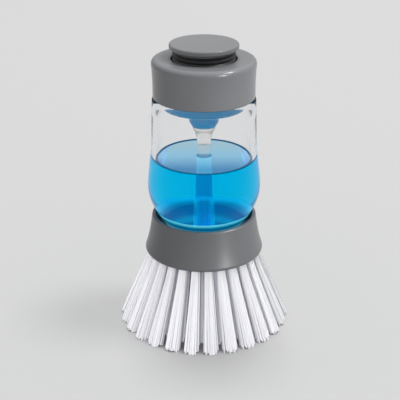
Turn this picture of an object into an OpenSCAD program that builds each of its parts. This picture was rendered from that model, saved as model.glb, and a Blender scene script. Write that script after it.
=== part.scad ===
// Palm-held soap-dispensing dish brush. Millimetres, +Z up, origin on the floor under the axis.

/* [Heights] */
// From the bristle tips to the foot of the collar
bristle_show = 31.6; // [24:0.2:40]
// Height of the collar
collar_h = 16.3; // [15:0.1:24]
// Tank between the collar's rim and the foot of the cap
tank_show = 50.3; // [42:0.1:70]
// Height of the cap's shell
cap_h = 15.8; // [14.5:0.1:20]
// Bellows that show above the cap
bellows_show = 3.0; // [2.6:0.1:5]
// Thickness of the button's disc
button_h = 3.0; // [2.4:0.1:5]

/* [Button] */
// Reach of the disc beyond the bellows
button_lip = 1.3; // [0.9:0.05:3]
// Rounding of the disc's upper edge
button_edge = 0.8; // [0.3:0.1:1.1]
// Depth of the hollow in the disc's top
button_dish = 0.45; // [0:0.05:0.8]
// Height of the chamfer under the disc
button_chamfer = 1.3; // [0.8:0.1:1.6]
// Travel of the button
travel = 3.2; // [1.5:0.1:3.4]
// Depth of the button's hub inside the bellows
hub_depth = 1.8; // [1:0.1:3]
// Outer radius of the socket that holds the rod
socket_r = 4.9; // [4.2:0.1:5.6]
// Length of the socket below the disc
socket_len = 9.5; // [6:0.5:11]

/* [Bellows] */
// Outer radius of the bellows
bellows_r = 12.55; // [12.2:0.05:12.6]
// Depth of a fold
fold_depth = 0.65; // [0.3:0.05:0.9]
// Wall of the bellows
bellows_wall = 0.7; // [0.5:0.05:0.8]
// Width of the foot flange beyond the bellows
bellows_flange_w = 3.65; // [3:0.05:4]
// Thickness of the foot flange
bellows_flange_t = 1.0; // [0.8:0.1:1.4]
// Thickness of the clamping ring above the flange
clamp_t = 0.6; // [0.4:0.05:0.65]

/* [Cap] */
// Radius of the cap at its shoulder
cap_r = 20.95; // [20.8:0.05:23]
// Radius of the cap at its foot
cap_foot_r = 20.5; // [20.4:0.05:22]
// Rounding of the shoulder
cap_round = 2.1; // [1:0.1:3]
// Thickness of the cap's top
cap_top_t = 2.0; // [1.4:0.1:2.2]
// Room round the bellows in the cap's opening
hole_room = 0.55; // [0.45:0.05:0.8]
// Wall of the skirt at the foot
skirt_wall = 1.5; // [1.2:0.05:1.8]

/* [Cap insert] */
// Depth of the dish below the tank's shoulder
dish_depth = 4.2; // [3:0.1:8]
// Wall of the dish
dish_wall = 1.35; // [1:0.05:1.8]
// Rounding under the dish
dish_round = 2.0; // [1.4:0.1:2.6]
// Length of the guide boss below the dish
boss_len = 7.2; // [5:0.1:10]
// Radius of the boss at its lower end
boss_tip_r = 4.75; // [4.6:0.05:5.2]
// Radius where the boss leaves its flare
boss_r = 5.9; // [5.5:0.1:6.5]
// Width of the flare between dish and boss
boss_flare = 2.0; // [1:0.1:3]
// Thickness of the flange on the rim
insert_flange_t = 1.2; // [1:0.1:1.5]
// Thickness of the gasket on the rim
gasket_t = 0.8; // [0.5:0.1:1.2]
// Section radius of the rod's O-ring
oring_r = 0.75; // [0.5:0.05:0.9]

/* [Rod] */
// Radius of the rod above its stop collar
rod_top_r = 3.3; // [3:0.05:3.5]
// Radius of the stop collar
collar_stop_r = 4.5; // [4.2:0.05:4.7]
// Height of the stop collar's rim
stop_rim = 0.9; // [0.6:0.1:1.5]
// Length of the taper under the stop collar
rod_taper = 5.7; // [4:0.1:8]
// Radius of the shank above the soap
rod_r = 2.5; // [2.3:0.05:2.8]
// Radius of the rod in the guide tube
rod_tip_r = 1.9; // [1.5:0.05:2.0]
// Radius of the rod's end beside the soap inlets
rod_end_r = 1.2; // [0.9:0.05:1.3]
// Depth of the rod's top below the disc
rod_inset = 3.4; // [3:0.1:4]

/* [Tank] */
// Radius below the shoulder
tank_top_r = 20.9; // [20.6:0.05:22]
// Radius where the belly begins
tank_waist_r = 21.35; // [20.9:0.05:22.4]
// Largest radius of the belly
belly_r = 23.1; // [22.4:0.05:26]
// Height of the belly above the collar's rim
belly_rise = 12.6; // [10:0.1:16]
// Length of the belly's upper curve
belly_len = 16.5; // [12:0.5:20]
// Radius of the tank's floor
tank_floor_r = 14.5; // [14:0.1:15.5]
// Wall of the tank
tank_wall = 2.2; // [1.6:0.1:2.8]
// Thickness of the tank's floor
tank_floor_t = 2.0; // [1.6:0.1:3]
// Rounding of the shoulder
shoulder_round = 0.9; // [0.4:0.1:1.5]
// Outer radius of the neck
neck_r = 18.2; // [17.9:0.05:18.4]
// Wall of the neck
neck_wall = 1.2; // [1:0.05:1.5]
// Height of the neck above the shoulder
neck_h = 10.1; // [8.5:0.1:10.4]
// Level of the soap above the collar's rim
soap_rise = 24.6; // [8:0.2:30]

/* [Valve] */
// Outer radius of the guide tube
guide_r = 3.25; // [3:0.05:3.6]
// Height of the guide tube above the tank's floor
guide_h = 22.5; // [12:0.5:23]
// Radius of the housing's flange
valve_flange_r = 9.0; // [8.5:0.1:11]
// Thickness of the flange
valve_flange_t = 1.0; // [0.8:0.1:1.6]
// Thickness of the gasket under the flange
valve_gasket_t = 0.4; // [0.3:0.05:0.6]
// Outer radius of the valve chamber
chamber_r = 6.0; // [5.8:0.05:6.4]
// Wall of the valve chamber
chamber_wall = 1.4; // [1.1:0.05:1.5]
// Depth of the chamber's lower end below the tank's floor
chamber_drop = 3.8; // [3.4:0.1:4.2]
// Thickness of the seat ring
seat_t = 1.2; // [1:0.1:1.3]
// Radius of the passage through the seat
seat_hole_r = 2.4; // [2:0.1:2.8]
// Thickness of the poppet's head
poppet_t = 1.2; // [1:0.1:1.3]
// Radius of the poppet's head
poppet_r = 3.9; // [3.4:0.05:4]
// Radius of the poppet's stem
poppet_stem_r = 1.3; // [1:0.1:1.6]
// Width of a soap inlet slot
inlet_w = 2.0; // [1.2:0.1:2.4]
// Height of a soap inlet slot
inlet_h = 4.0; // [2:0.5:8]
// Outer radius of the nozzle's spout
spout_r = 3.6; // [3.4:0.05:3.8]
// Length of the spout below the brush plate's face
spout_show = 1.1; // [0.5:0.1:4]
// Radius of the soap outlet
outlet_r = 1.2; // [0.6:0.1:1.6]
// Outer radius of the clamping nut
nut_r = 8.0; // [7.6:0.1:9]

/* [Springs] */
// Mean radius of the return spring
return_r = 7.2; // [7:0.1:8.5]
// Wire of the return spring
return_wire = 0.9; // [0.6:0.1:1.1]
// Turns of the return spring
return_turns = 7; // [4:1:9]
// Mean radius of the valve spring
valve_spring_r = 2.2; // [2:0.05:2.25]
// Wire of the valve spring
valve_wire = 0.4; // [0.3:0.05:0.5]
// Turns of the valve spring
valve_turns = 4; // [3:1:6]

/* [Collar] */
// Radius of the collar's rim
collar_rim_r = 21.5; // [21.3:0.05:24]
// Largest radius, near the foot
collar_foot_r = 24.5; // [24.3:0.05:28]
// Rounding of the foot
collar_round = 1.3; // [0.8:0.1:1.6]
// Wall of the collar at its rim
collar_wall = 1.3; // [1:0.05:1.6]
// Thickness of the bayonet shelf
shelf_t = 1.5; // [1.2:0.1:2]
// Depth of the tank's floor below the rim
tank_sink = 5.9; // [5:0.1:7]

/* [Bayonet] */
// Number of lugs
lugs = 3; // [2:1:3]
// Outer radius of the tank's base skirt
skirt_r = 12.0; // [11.4:0.1:12.4]
// Wall of the base skirt
base_skirt_wall = 1.4; // [1:0.1:1.8]
// Reach of a lug beyond the skirt
lug_reach = 1.8; // [1.2:0.1:1.9]
// Width of a lug in degrees
lug_angle = 24; // [16:1:30]
// Thickness of a lug
lug_t = 1.4; // [1:0.1:1.5]
// Turn from locked to free in degrees
twist = 45; // [40:1:50]

/* [Brush head] */
// Wall of the collar's foot round the brush plate
foot_wall = 2.1; // [1.9:0.05:2.5]
// Recess of the bristle face above the collar's foot
face_recess = 0.7; // [0.2:0.1:1.5]
// Thickness of the plate with its bristle face
plate_t = 4.2; // [3.6:0.1:4.4]
// Thickness of the face that the tufts stand in
face_t = 1.0; // [0.8:0.1:1.2]
// Diameter of a tuft hole
tuft_d = 3.4; // [2.6:0.1:3.6]
// Depth of a tuft hole in the plate
hole_depth = 2.2; // [1.6:0.1:2.4]
// Turn of the outer ring from the front in degrees
tuft_phase = 4.9; // [0:0.1:13]

/* [Bristles] */
// Tufts in the outer ring
outer_tufts = 26; // [20:2:26]
// Margin from the outer ring to the edge of the plate
edge_margin = 2.0; // [1.9:0.1:2.5]
// Radius of the outer ring at the tips
outer_tip_r = 33.0; // [29:0.5:34]
// Tufts in the second ring
second_tufts = 20; // [14:2:20]
// Tufts in the third ring
third_tufts = 14; // [10:2:14]
// Tufts in the inner ring
inner_tufts = 8; // [6:2:8]
// Radius of the inner ring at the plate
inner_root_r = 8.2; // [7.8:0.1:8.4]
// Radius of the inner ring at the tips
inner_tip_r = 10.4; // [10:0.1:11]
// Half width of a strand at the plate
strand_root = 0.44; // [0.3:0.02:0.46]
// Half width of a strand at its tip
strand_tip = 0.62; // [0.4:0.02:0.64]
// Spread of a tuft's strands at the plate
fan_root = 1.14; // [1.1:0.02:1.2]
// Room between neighbouring tufts at the tips
tuft_room = 0.7; // [0.5:0.05:2]
// Most that a strand is shorter than the longest
tip_ragged = 0.9; // [0:0.1:2]

/* [Clearances] */
// Running fit of a sliding shaft, on the radius
run_fit = 0.08; // [0.04:0.01:0.1]
// Gap between parts that are assembled
gap = 0.1; // [0.05:0.01:0.15]
// Gap between parts that move past each other
free_gap = 0.3; // [0.2:0.05:0.35]
// Gap between the neck and the cap's threads
thread_room = 0.8; // [0.6:0.05:0.9]

/* [Hidden] */
$fn = 72;
arc_steps = 8;
curve_steps = 14;

// Radius of the button's disc
button_r = bellows_r + button_lip;

// Heights above the floor
collar_z = bristle_show;
rim_z = collar_z + collar_h;
cap_z = rim_z + tank_show;
cap_top_z = cap_z + cap_h;
button_z = cap_top_z + bellows_show;
top_z = button_z + button_h;

// Brush plate
plate_r = collar_foot_r - foot_wall;
face_z = collar_z + face_recess;
face_top_z = face_z + face_t;
plate_z = face_top_z + gap;
plate_top_z = face_z + plate_t;
plate_bore_r = spout_r + free_gap;
plate_pocket_r = plate_r + 2 * gap;

// Tank
floor_z = rim_z - tank_sink;
floor_top_z = floor_z + tank_floor_t;
shoulder_z = cap_z - free_gap;
neck_top_z = shoulder_z + neck_h;
neck_bore_r = neck_r - neck_wall;
belly_z = rim_z + belly_rise;
soap_z = rim_z + soap_rise;

// Cap and insert
boss_tube_wall = 1.0;
boss_tube_h = 2.6;
bellows_seat_r = bellows_r - bellows_wall + 1.6;
bellows_flange_r = bellows_r + bellows_flange_w;
cap_hole_r = bellows_r + hole_room;
ceiling_z = cap_top_z - cap_top_t;
cap_bore_r = neck_r + thread_room;
insert_r = neck_bore_r - 2 * gap;
insert_flange_z = neck_top_z + gasket_t + gap / 2;
insert_top_z = insert_flange_z + insert_flange_t;
insert_flange_r = cap_bore_r - free_gap;
dish_z = shoulder_z - dish_depth;
dish_floor_z = dish_z + dish_wall;
boss_z = dish_z - boss_len;
rod_bore_r = rod_top_r + run_fit;
oring_mid_r = rod_top_r + run_fit / 2 + oring_r;
oring_pocket_r = oring_mid_r + oring_r + gap;
boss_tube_r = oring_pocket_r + boss_tube_wall;
boss_top_z = dish_floor_z + boss_tube_h;
oring_z = boss_top_z - oring_r - gap / 2;

// Rod
stop_z = boss_z - free_gap;
shank_z = stop_z - stop_rim - rod_taper;
guide_top_z = floor_top_z + guide_h;
rod_step_h = 0.6;
rod_step_z = guide_top_z + travel + 2 * free_gap + rod_step_h;
rod_top_z = button_z - rod_inset;
socket_z = button_z - socket_len;

// Valve
flange_z = floor_top_z + valve_gasket_t;
flange_top_z = flange_z + valve_flange_t;
chamber_z = floor_z - chamber_drop;
chamber_bore_r = chamber_r - chamber_wall;
chamber_roof = 2.0;
chamber_top_z = flange_top_z - chamber_roof;
seat_z = chamber_top_z - seat_t;
poppet_top_z = seat_z - gap / 2;
poppet_z = poppet_top_z - poppet_t;
stem_rise = 0.7;
poppet_stem_z = chamber_top_z + stem_rise;
rod_end_z = poppet_stem_z + free_gap;
guide_bore_r = rod_tip_r + run_fit;
floor_hole_r = chamber_r + 2 * gap;
nut_bore_r = chamber_r + gap;
nozzle_flange_t = 0.6;
nut_lip_t = 0.7;
cup_wall = 0.9;
cup_floor_t = 0.5;
spout_floor_t = 3.0;
nozzle_flange_r = chamber_r - gap / 2;
nozzle_flange_z = chamber_z - nozzle_flange_t;
nut_lip_z = nozzle_flange_z - nut_lip_t;
cup_bore_r = poppet_r + free_gap;
cup_r = cup_bore_r + cup_wall;
cup_z = plate_top_z + free_gap;
cup_floor_z = cup_z + cup_floor_t;
spout_bore_r = valve_spring_r + valve_wire / 2 + 2 * gap;
spout_z = face_z - spout_show;
spring_seat_z = spout_z + spout_floor_t;
inlet_z = flange_top_z + 0.8;
rod_neck_z = inlet_z + inlet_h + travel + gap;

// Bayonet
lug_z = floor_z - shelf_t - free_gap - lug_t;
lug_r = skirt_r + lug_reach;
shelf_r = skirt_r + free_gap;
shelf_z = floor_z - gap - shelf_t;
notch_r = lug_r + free_gap;
notch_angle = lug_angle + 10;
rib_angle = 4;
rib_margin = 3;
lug_root = 0.5;

// Rings along a spring's wire, and sides of each ring
ring_sides = 6;
rings_per_turn = 8;

// Small edge breaks
edge_break = 0.3;
small_chamfer = 0.4;

// Points of an arc from angle a to angle b about [cr, cz]
function arc(cr, cz, rad, a, b, n = arc_steps) =
  [for (i = [0:n]) let (t = a + (b - a) * i / n) [cr + rad * cos(t), cz + rad * sin(t)]];

// Points of a cubic curve through its two ends, without the first end
function curve(p, q, s, t, n = curve_steps) =
  [for (i = [1:n]) let (u = i / n, v = 1 - u)
    v * v * v * p + 3 * v * v * u * q + 3 * v * u * u * s + u * u * u * t];

function reverse(v) = [for (i = [len(v) - 1:-1:0]) v[i]];

// A point on a ring, turned from the front, which is -Y, towards +X
function turned(r, a) = [r * sin(a), -r * cos(a)];

module turn_solid(points) {
  rotate_extrude() polygon(points);
}

module ring(outer, inner, low, high) {
  translate([0, 0, low]) difference() {
    cylinder(r = outer, h = high - low);
    translate([0, 0, -1]) cylinder(r = inner, h = high - low + 2);
  }
}

// Part of a ring, centred on angle a from the front
module ring_sector(outer, inner, low, high, a, wide) {
  half = wide / 2;
  far = outer * 1.5;
  intersection() {
    ring(outer, inner, low, high);
    translate([0, 0, low - 1]) linear_extrude(high - low + 2)
      polygon([[0, 0], turned(far, a - half), turned(far, a), turned(far, a + half)]);
  }
}

// A coil spring as one unbroken tube, its wire's lowest point at low
function coil_centre(r, low, high, wire, turns, k) =
  let (n = turns * rings_per_turn, a = 360 * k / rings_per_turn)
  [r * cos(a), r * sin(a), low + wire / 2 + (high - low - wire) * k / n];

// Least distance between the wire's surfaces on different turns
function coil_gap(r, low, high, wire, turns) =
  let (n = turns * rings_per_turn)
  min([for (i = [0:n], j = [i + rings_per_turn - 2:n])
    norm(coil_centre(r, low, high, wire, turns, i) - coil_centre(r, low, high, wire, turns, j))])
  - wire;

module coil(r, low, high, wire, turns) {
  n = turns * rings_per_turn;
  points = [
    for (k = [0:n])
      let (c = coil_centre(r, low, high, wire, turns, k), a = 360 * k / rings_per_turn)
      for (j = [0:ring_sides - 1])
        let (b = 360 * j / ring_sides)
        c + wire / 2 * [cos(b) * cos(a), cos(b) * sin(a), sin(b)]
  ];
  sides = [
    for (k = [0:n - 1], j = [0:ring_sides - 1])
      let (a = k * ring_sides + j, b = k * ring_sides + (j + 1) % ring_sides)
      each [[a, b, a + ring_sides], [b, b + ring_sides, a + ring_sides]]
  ];
  first = [for (j = [1:ring_sides - 2]) [0, j + 1, j]];
  base = n * ring_sides;
  last = [for (j = [1:ring_sides - 2]) [base, base + j, base + j + 1]];
  polyhedron(points, concat(sides, first, last));
}

module push_button() {
  edge_z = top_z - button_edge;
  hub_r = bellows_r - fold_depth - bellows_wall - 2 * gap;
  rim_r = button_r - button_edge;
  bore_r = rod_top_r + gap / 5;
  color([0.55, 0.56, 0.57]) difference() {
    turn_solid(concat(
      [[0, socket_z], [socket_r, socket_z], [socket_r, button_z - hub_depth]],
      [[hub_r, button_z - hub_depth], [hub_r, button_z]],
      [[bellows_r - gap, button_z], [button_r, button_z + button_chamfer]],
      arc(rim_r, edge_z, button_edge, 0, 90),
      [for (u = [0.8:-0.2:0]) [max(0, rim_r * u), top_z - button_dish * (1 - u * u)]]
    ));
    translate([0, 0, socket_z - 1]) cylinder(r = bore_r, h = rod_top_z - socket_z + 1 + gap);
  }
}

module button_bellows() {
  fold_in = bellows_r - fold_depth;
  foot_z = insert_top_z + gap;
  flange_top_z = foot_z + bellows_flange_t;
  fold_h = 0.8;
  bulge = 0.35;
  low_fold = cap_top_z + 0.15 * bellows_show;
  mid_fold = cap_top_z + 0.5 * bellows_show;
  high_fold = cap_top_z + 0.82 * bellows_show;
  wall_line = [
    [bellows_r, flange_top_z], [bellows_r, low_fold - fold_h], [fold_in, low_fold],
    [bellows_r, mid_fold - bulge], [bellows_r, mid_fold + bulge], [fold_in, high_fold],
    [bellows_r - 0.25, button_z - gap / 2]
  ];
  inner_line = [for (p = reverse(wall_line)) [p[0] - bellows_wall, p[1]]];
  color([0.2, 0.2, 0.21]) turn_solid(concat(
    [[bellows_flange_r, foot_z], [bellows_flange_r, flange_top_z]],
    wall_line, inner_line, [[bellows_r - bellows_wall, foot_z]]
  ));
}

module bellows_ring() {
  low = insert_top_z + bellows_flange_t + 2 * gap;
  color([0.7, 0.7, 0.71])
    ring(bellows_flange_r + small_chamfer, cap_hole_r + small_chamfer, low, low + clamp_t);
}

return_low = dish_floor_z + gap / 2;
return_high = button_z - hub_depth - gap / 2;

module return_spring() {
  color("silver") coil(return_r, return_low, return_high, return_wire, return_turns);
}

module push_rod() {
  taper_z = stop_z - stop_rim;
  color([0.86, 0.9, 0.92]) turn_solid([
    [0, rod_end_z], [rod_end_r - edge_break, rod_end_z], [rod_end_r, rod_end_z + edge_break],
    [rod_end_r, rod_neck_z], [rod_tip_r, rod_neck_z + small_chamfer],
    [rod_tip_r, rod_step_z - rod_step_h], [rod_r, rod_step_z], [rod_r, shank_z],
    [rod_r + 0.25 * (collar_stop_r - rod_r), shank_z + 0.35 * rod_taper],
    [collar_stop_r, taper_z], [collar_stop_r, stop_z],
    [rod_top_r, stop_z], [rod_top_r, rod_top_z], [0, rod_top_z]
  ]);
}

module rod_seal() {
  color([0.15, 0.15, 0.15]) rotate_extrude()
    translate([oring_mid_r, oring_z]) circle(r = oring_r, $fn = 24);
}

module screw_cap() {
  skirt_bore_r = max(cap_bore_r, cap_foot_r - skirt_wall);
  corner = 0.6;
  side_z = cap_z + 0.3 * cap_h;
  shoulder = cap_top_z - cap_round;
  color([0.42, 0.43, 0.44]) turn_solid(concat(
    [[cap_foot_r - edge_break, cap_z], [cap_foot_r, cap_z + edge_break], [cap_foot_r, side_z]],
    curve([cap_foot_r, side_z], [cap_foot_r, (side_z + shoulder) / 2],
      [(cap_foot_r + cap_r) / 2, shoulder - 2], [cap_r, shoulder], 6),
    arc(cap_r - cap_round, shoulder, cap_round, 0, 90),
    [[cap_hole_r + edge_break, cap_top_z], [cap_hole_r, cap_top_z - edge_break]],
    [[cap_hole_r, ceiling_z], [skirt_bore_r - corner, ceiling_z]],
    [[skirt_bore_r, ceiling_z - corner], [skirt_bore_r, cap_z]]
  ));
}

module cap_insert() {
  cone_z = dish_z - 0.7 * boss_len;
  bowl_r = insert_r - dish_wall;
  bowl_round = 1;
  pocket_z = oring_z - oring_r - gap / 2;
  color([0.72, 0.84, 0.92]) turn_solid(concat(
    [[rod_bore_r, boss_z], [boss_tip_r, boss_z], [boss_r, cone_z]],
    curve([boss_r, cone_z], [boss_r, (cone_z + dish_z) / 2], [boss_r + 0.3 * boss_flare, dish_z],
      [boss_r + 1.5 * boss_flare, dish_z], 6),
    arc(insert_r - dish_round, dish_z + dish_round, dish_round, -90, 0),
    [[insert_r, insert_flange_z], [insert_flange_r, insert_flange_z]],
    [[insert_flange_r, insert_top_z], [bellows_seat_r, insert_top_z]],
    [[bellows_seat_r, insert_flange_z], [bowl_r, insert_flange_z - insert_flange_t]],
    reverse(arc(bowl_r - bowl_round, dish_floor_z + bowl_round, bowl_round, -90, 0)),
    [[boss_tube_r, dish_floor_z], [boss_tube_r, boss_top_z], [oring_pocket_r, boss_top_z]],
    [[oring_pocket_r, pocket_z], [rod_bore_r, pocket_z]]
  ));
}

module cap_gasket() {
  color([0.85, 0.87, 0.88]) ring(neck_r, neck_bore_r, neck_top_z, neck_top_z + gasket_t);
}

// Outer line of the tank from the floor's edge up to the shoulder
function tank_line() =
  let (bowl_h = belly_z - floor_z, bowl_w = belly_r - tank_floor_r)
  concat(
    [[tank_floor_r, floor_z]],
    curve([tank_floor_r, floor_z], [tank_floor_r + 0.465 * bowl_w, floor_z + 0.3 * bowl_h],
      [belly_r, belly_z - 0.38 * bowl_h], [belly_r, belly_z], 18),
    curve([belly_r, belly_z], [belly_r, belly_z + 0.33 * belly_len],
      [tank_waist_r + 0.2 * (belly_r - tank_waist_r), belly_z + 0.8 * belly_len],
      [tank_waist_r, belly_z + belly_len]),
    arc(tank_top_r - shoulder_round, shoulder_z - shoulder_round, shoulder_round, 0, 90)
  );

// Inner line of the wall, above the floor and below the neck
corner_drop = 0.4;
corner_in = 0.7;
neck_slope = 2.2;
function tank_inner() = [
  for (p = tank_line())
    if (p[1] > floor_top_z + corner_drop && p[1] < shoulder_z - 2 * neck_slope)
      [p[0] - tank_wall, p[1]]
];

module bayonet_lugs() {
  for (k = [0:lugs - 1])
    ring_sector(lug_r, skirt_r - lug_root, lug_z, lug_z + lug_t, k * 360 / lugs, lug_angle);
}

module tank() {
  neck_in_z = shoulder_z - neck_slope;
  line = tank_inner();
  color([0.8, 0.88, 0.92, 0.45]) union() {
    turn_solid(concat(
      [[floor_hole_r, floor_z]], tank_line(),
      [[neck_r, shoulder_z], [neck_r, neck_top_z - edge_break], [neck_r - edge_break, neck_top_z]],
      [[neck_bore_r, neck_top_z], [neck_bore_r, neck_in_z]],
      [[tank_top_r - tank_wall, neck_in_z - neck_slope]], reverse(line),
      [[line[0][0] - corner_in, floor_top_z], [floor_hole_r, floor_top_z]]
    ));
    ring(skirt_r, skirt_r - base_skirt_wall, lug_z, floor_z + lug_root);
    bayonet_lugs();
  }
}

module soap_fill() {
  line = [for (p = tank_inner()) if (p[1] < soap_z) [p[0] - gap, p[1]]];
  first = line[0];
  last = line[len(line) - 1];
  bore_r = guide_r + gap;
  clear_r = valve_flange_r + gap;
  color([0.1, 0.62, 0.86]) turn_solid(concat(
    [[clear_r, floor_top_z + gap], [first[0] - corner_in, floor_top_z + gap]],
    line, [[last[0], soap_z], [bore_r, soap_z], [bore_r, flange_top_z + gap]],
    [[clear_r, flange_top_z + gap]]
  ));
}

module valve_housing() {
  color([0.85, 0.92, 0.95, 0.6]) difference() {
    turn_solid([
      [guide_bore_r, guide_top_z], [guide_r - edge_break, guide_top_z],
      [guide_r, guide_top_z - edge_break], [guide_r, flange_top_z],
      [valve_flange_r, flange_top_z], [valve_flange_r, flange_z],
      [chamber_r, flange_z], [chamber_r, chamber_z], [chamber_bore_r, chamber_z],
      [chamber_bore_r, chamber_top_z], [guide_bore_r, chamber_top_z]
    ]);
    for (a = [0, 90]) rotate([0, 0, a])
      translate([-inlet_w / 2, -guide_r - 1, inlet_z]) cube([inlet_w, 2 * guide_r + 2, inlet_h]);
  }
}

module valve_gasket() {
  color([0.2, 0.2, 0.2])
    ring(valve_flange_r - 2 * gap, floor_hole_r, floor_top_z, floor_top_z + valve_gasket_t);
}

module valve_seat() {
  color([0.2, 0.2, 0.2]) ring(chamber_bore_r - gap / 2, seat_hole_r, seat_z, chamber_top_z);
}

module valve_poppet() {
  cone_r = seat_hole_r + small_chamfer;
  color([0.9, 0.9, 0.9]) turn_solid([
    [0, poppet_z], [poppet_r, poppet_z], [poppet_r, poppet_top_z - small_chamfer],
    [cone_r, poppet_top_z], [poppet_stem_r, poppet_top_z], [poppet_stem_r, poppet_stem_z],
    [0, poppet_stem_z]
  ]);
}

spring_low = spring_seat_z + gap / 2;
spring_high = poppet_z - gap / 2;

module valve_spring() {
  color("silver") coil(valve_spring_r, spring_low, spring_high, valve_wire, valve_turns);
}

module outlet_nozzle() {
  tip_chamfer = 1.2;
  color([0.3, 0.3, 0.31]) turn_solid([
    [outlet_r, spout_z], [spout_r - tip_chamfer, spout_z], [spout_r, spout_z + tip_chamfer],
    [spout_r, cup_z], [cup_r, cup_z], [cup_r, nozzle_flange_z],
    [nozzle_flange_r, nozzle_flange_z], [nozzle_flange_r, chamber_z - gap / 2],
    [cup_bore_r, chamber_z - gap / 2], [cup_bore_r, cup_floor_z],
    [spout_bore_r, cup_floor_z], [spout_bore_r, spring_seat_z], [outlet_r, spring_seat_z]
  ]);
}

module valve_nut() {
  grips = 12;
  grip_r = 0.8;
  lip_r = cup_r + gap;
  color([0.6, 0.61, 0.62]) difference() {
    turn_solid([
      [lip_r, nut_lip_z], [nut_r - small_chamfer, nut_lip_z], [nut_r, nut_lip_z + small_chamfer],
      [nut_r, floor_z - gap], [nut_bore_r, floor_z - gap],
      [nut_bore_r, nozzle_flange_z - gap / 2], [lip_r, nozzle_flange_z - gap / 2]
    ]);
    for (k = [0:grips - 1]) rotate([0, 0, k * 360 / grips])
      translate([nut_r + edge_break, 0, nut_lip_z - 1])
        cylinder(r = grip_r, h = floor_z - nut_lip_z + 2, $fn = 24);
  }
}

// Angle above level where the foot's rounding runs into the collar's side
foot_sweep = 15;

// Outer line of the collar from the foot up to the rim
function collar_line() =
  let (
    foot = arc(collar_foot_r - collar_round, collar_z + collar_round, collar_round, -90, foot_sweep),
    sweep = collar_foot_r - collar_rim_r
  )
  concat(foot, curve(foot[len(foot) - 1],
    [collar_foot_r - 0.4 * sweep, collar_z + 0.3 * collar_h],
    [collar_rim_r + 0.3 * sweep, collar_z + 0.55 * collar_h],
    [collar_rim_r, rim_z - small_chamfer]));

shelf_root_r = plate_r - 1;

module bayonet_shelf() {
  difference() {
    ring(shelf_root_r, shelf_r, shelf_z, shelf_z + shelf_t);
    for (k = [0:lugs - 1])
      ring_sector(notch_r, shelf_r - 1, shelf_z - 1, shelf_z + shelf_t + 1,
        k * 360 / lugs - twist, notch_angle);
  }
}

// Ribs under the shelf that stop a lug at each end of its turn
module stop_ribs() {
  reach = lug_angle / 2 + rib_margin + rib_angle / 2;
  for (k = [0:lugs - 1], a = [reach, -twist - reach])
    ring_sector(shelf_root_r, shelf_r + gap, lug_z, shelf_z + gap, k * 360 / lugs + a, rib_angle);
}

module collar() {
  ledge_r = shelf_root_r - small_chamfer;
  color([0.42, 0.43, 0.44]) union() {
    turn_solid(concat(
      [[plate_pocket_r, collar_z]], collar_line(),
      [[collar_rim_r - small_chamfer, rim_z], [collar_rim_r - collar_wall, rim_z]],
      [[collar_rim_r - collar_wall, shelf_z + shelf_t], [ledge_r, shelf_z + shelf_t]],
      [[ledge_r, plate_top_z + gap / 2], [plate_pocket_r, plate_top_z + gap / 2]]
    ));
    bayonet_shelf();
    stop_ribs();
  }
}

// Turns of the inner rings against the outer one in degrees
second_turn = 6;
inner_turn = 9;

// The middle rings lie evenly between the outer and inner rings, at the plate and at the tips
outer_root_r = plate_r - edge_margin;
root_pitch = (outer_root_r - inner_root_r) / 3;
second_root_r = outer_root_r - root_pitch;
third_root_r = second_root_r - root_pitch;
tip_pitch = (outer_tip_r - inner_tip_r) / 3;
second_tip_r = outer_tip_r - tip_pitch;
third_tip_r = second_tip_r - tip_pitch;

// Rings of tufts as [tufts, root radius, tip radius, turn]
outer_ring = [outer_tufts, outer_root_r, outer_tip_r, tuft_phase];
second_ring = [second_tufts, second_root_r, second_tip_r, tuft_phase + second_turn];
third_ring = [third_tufts, third_root_r, third_tip_r, tuft_phase];
inner_ring = [inner_tufts, inner_root_r, inner_tip_r, tuft_phase + inner_turn];
rings = [outer_ring, second_ring, third_ring, inner_ring];
outer_edge = (outer_root_r + second_root_r) / 2;
second_edge = (second_root_r + third_root_r) / 2;
third_edge = (third_root_r + inner_root_r) / 2;

module brush_plate() {
  color([0.5, 0.51, 0.52]) difference() {
    ring(plate_r, plate_bore_r, plate_z, plate_top_z);
    for (g = rings, k = [0:g[0] - 1]) {
      p = turned(g[1], g[3] + 360 * k / g[0]);
      translate([p[0], p[1], plate_z - 1]) cylinder(r = tuft_d / 2, h = hole_depth + 1, $fn = 20);
    }
  }
}

module tuft_anchors() {
  wire_t = 0.35;
  anchor = [tuft_d - free_gap, wire_t, hole_depth - 5 * gap];
  color("gold") for (g = rings, k = [0:g[0] - 1]) {
    a = g[3] + 360 * k / g[0];
    p = turned(g[1], a);
    translate([p[0], p[1], plate_z + 2 * gap]) rotate([0, 0, a])
      translate([-anchor[0] / 2, -anchor[1] / 2, 0]) cube(anchor);
  }
}

// Places of a tuft's strands, as [outward, sideways] shares of its spread
strand_places = concat([[0, 0]], [for (i = [0:5]) [cos(60 * i + 30), sin(60 * i + 30)]]);

// How far a ring's tufts open until they nearly meet the next tuft or the next ring
function fan_tip(g) =
  let (beside = 2 * g[2] * sin(180 / g[0]), room = 2 * strand_tip + tuft_room)
  min((beside - room) / 2, (tip_pitch - room) / (2 * cos(30)));

// How much shorter than the longest each strand of a tuft is, as a share
function ragged(tuft, strand) = (tuft * 3 + strand * 5) % 7 < 4 ? 0 : ((tuft + strand * 2) % 5) / 4;

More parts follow.
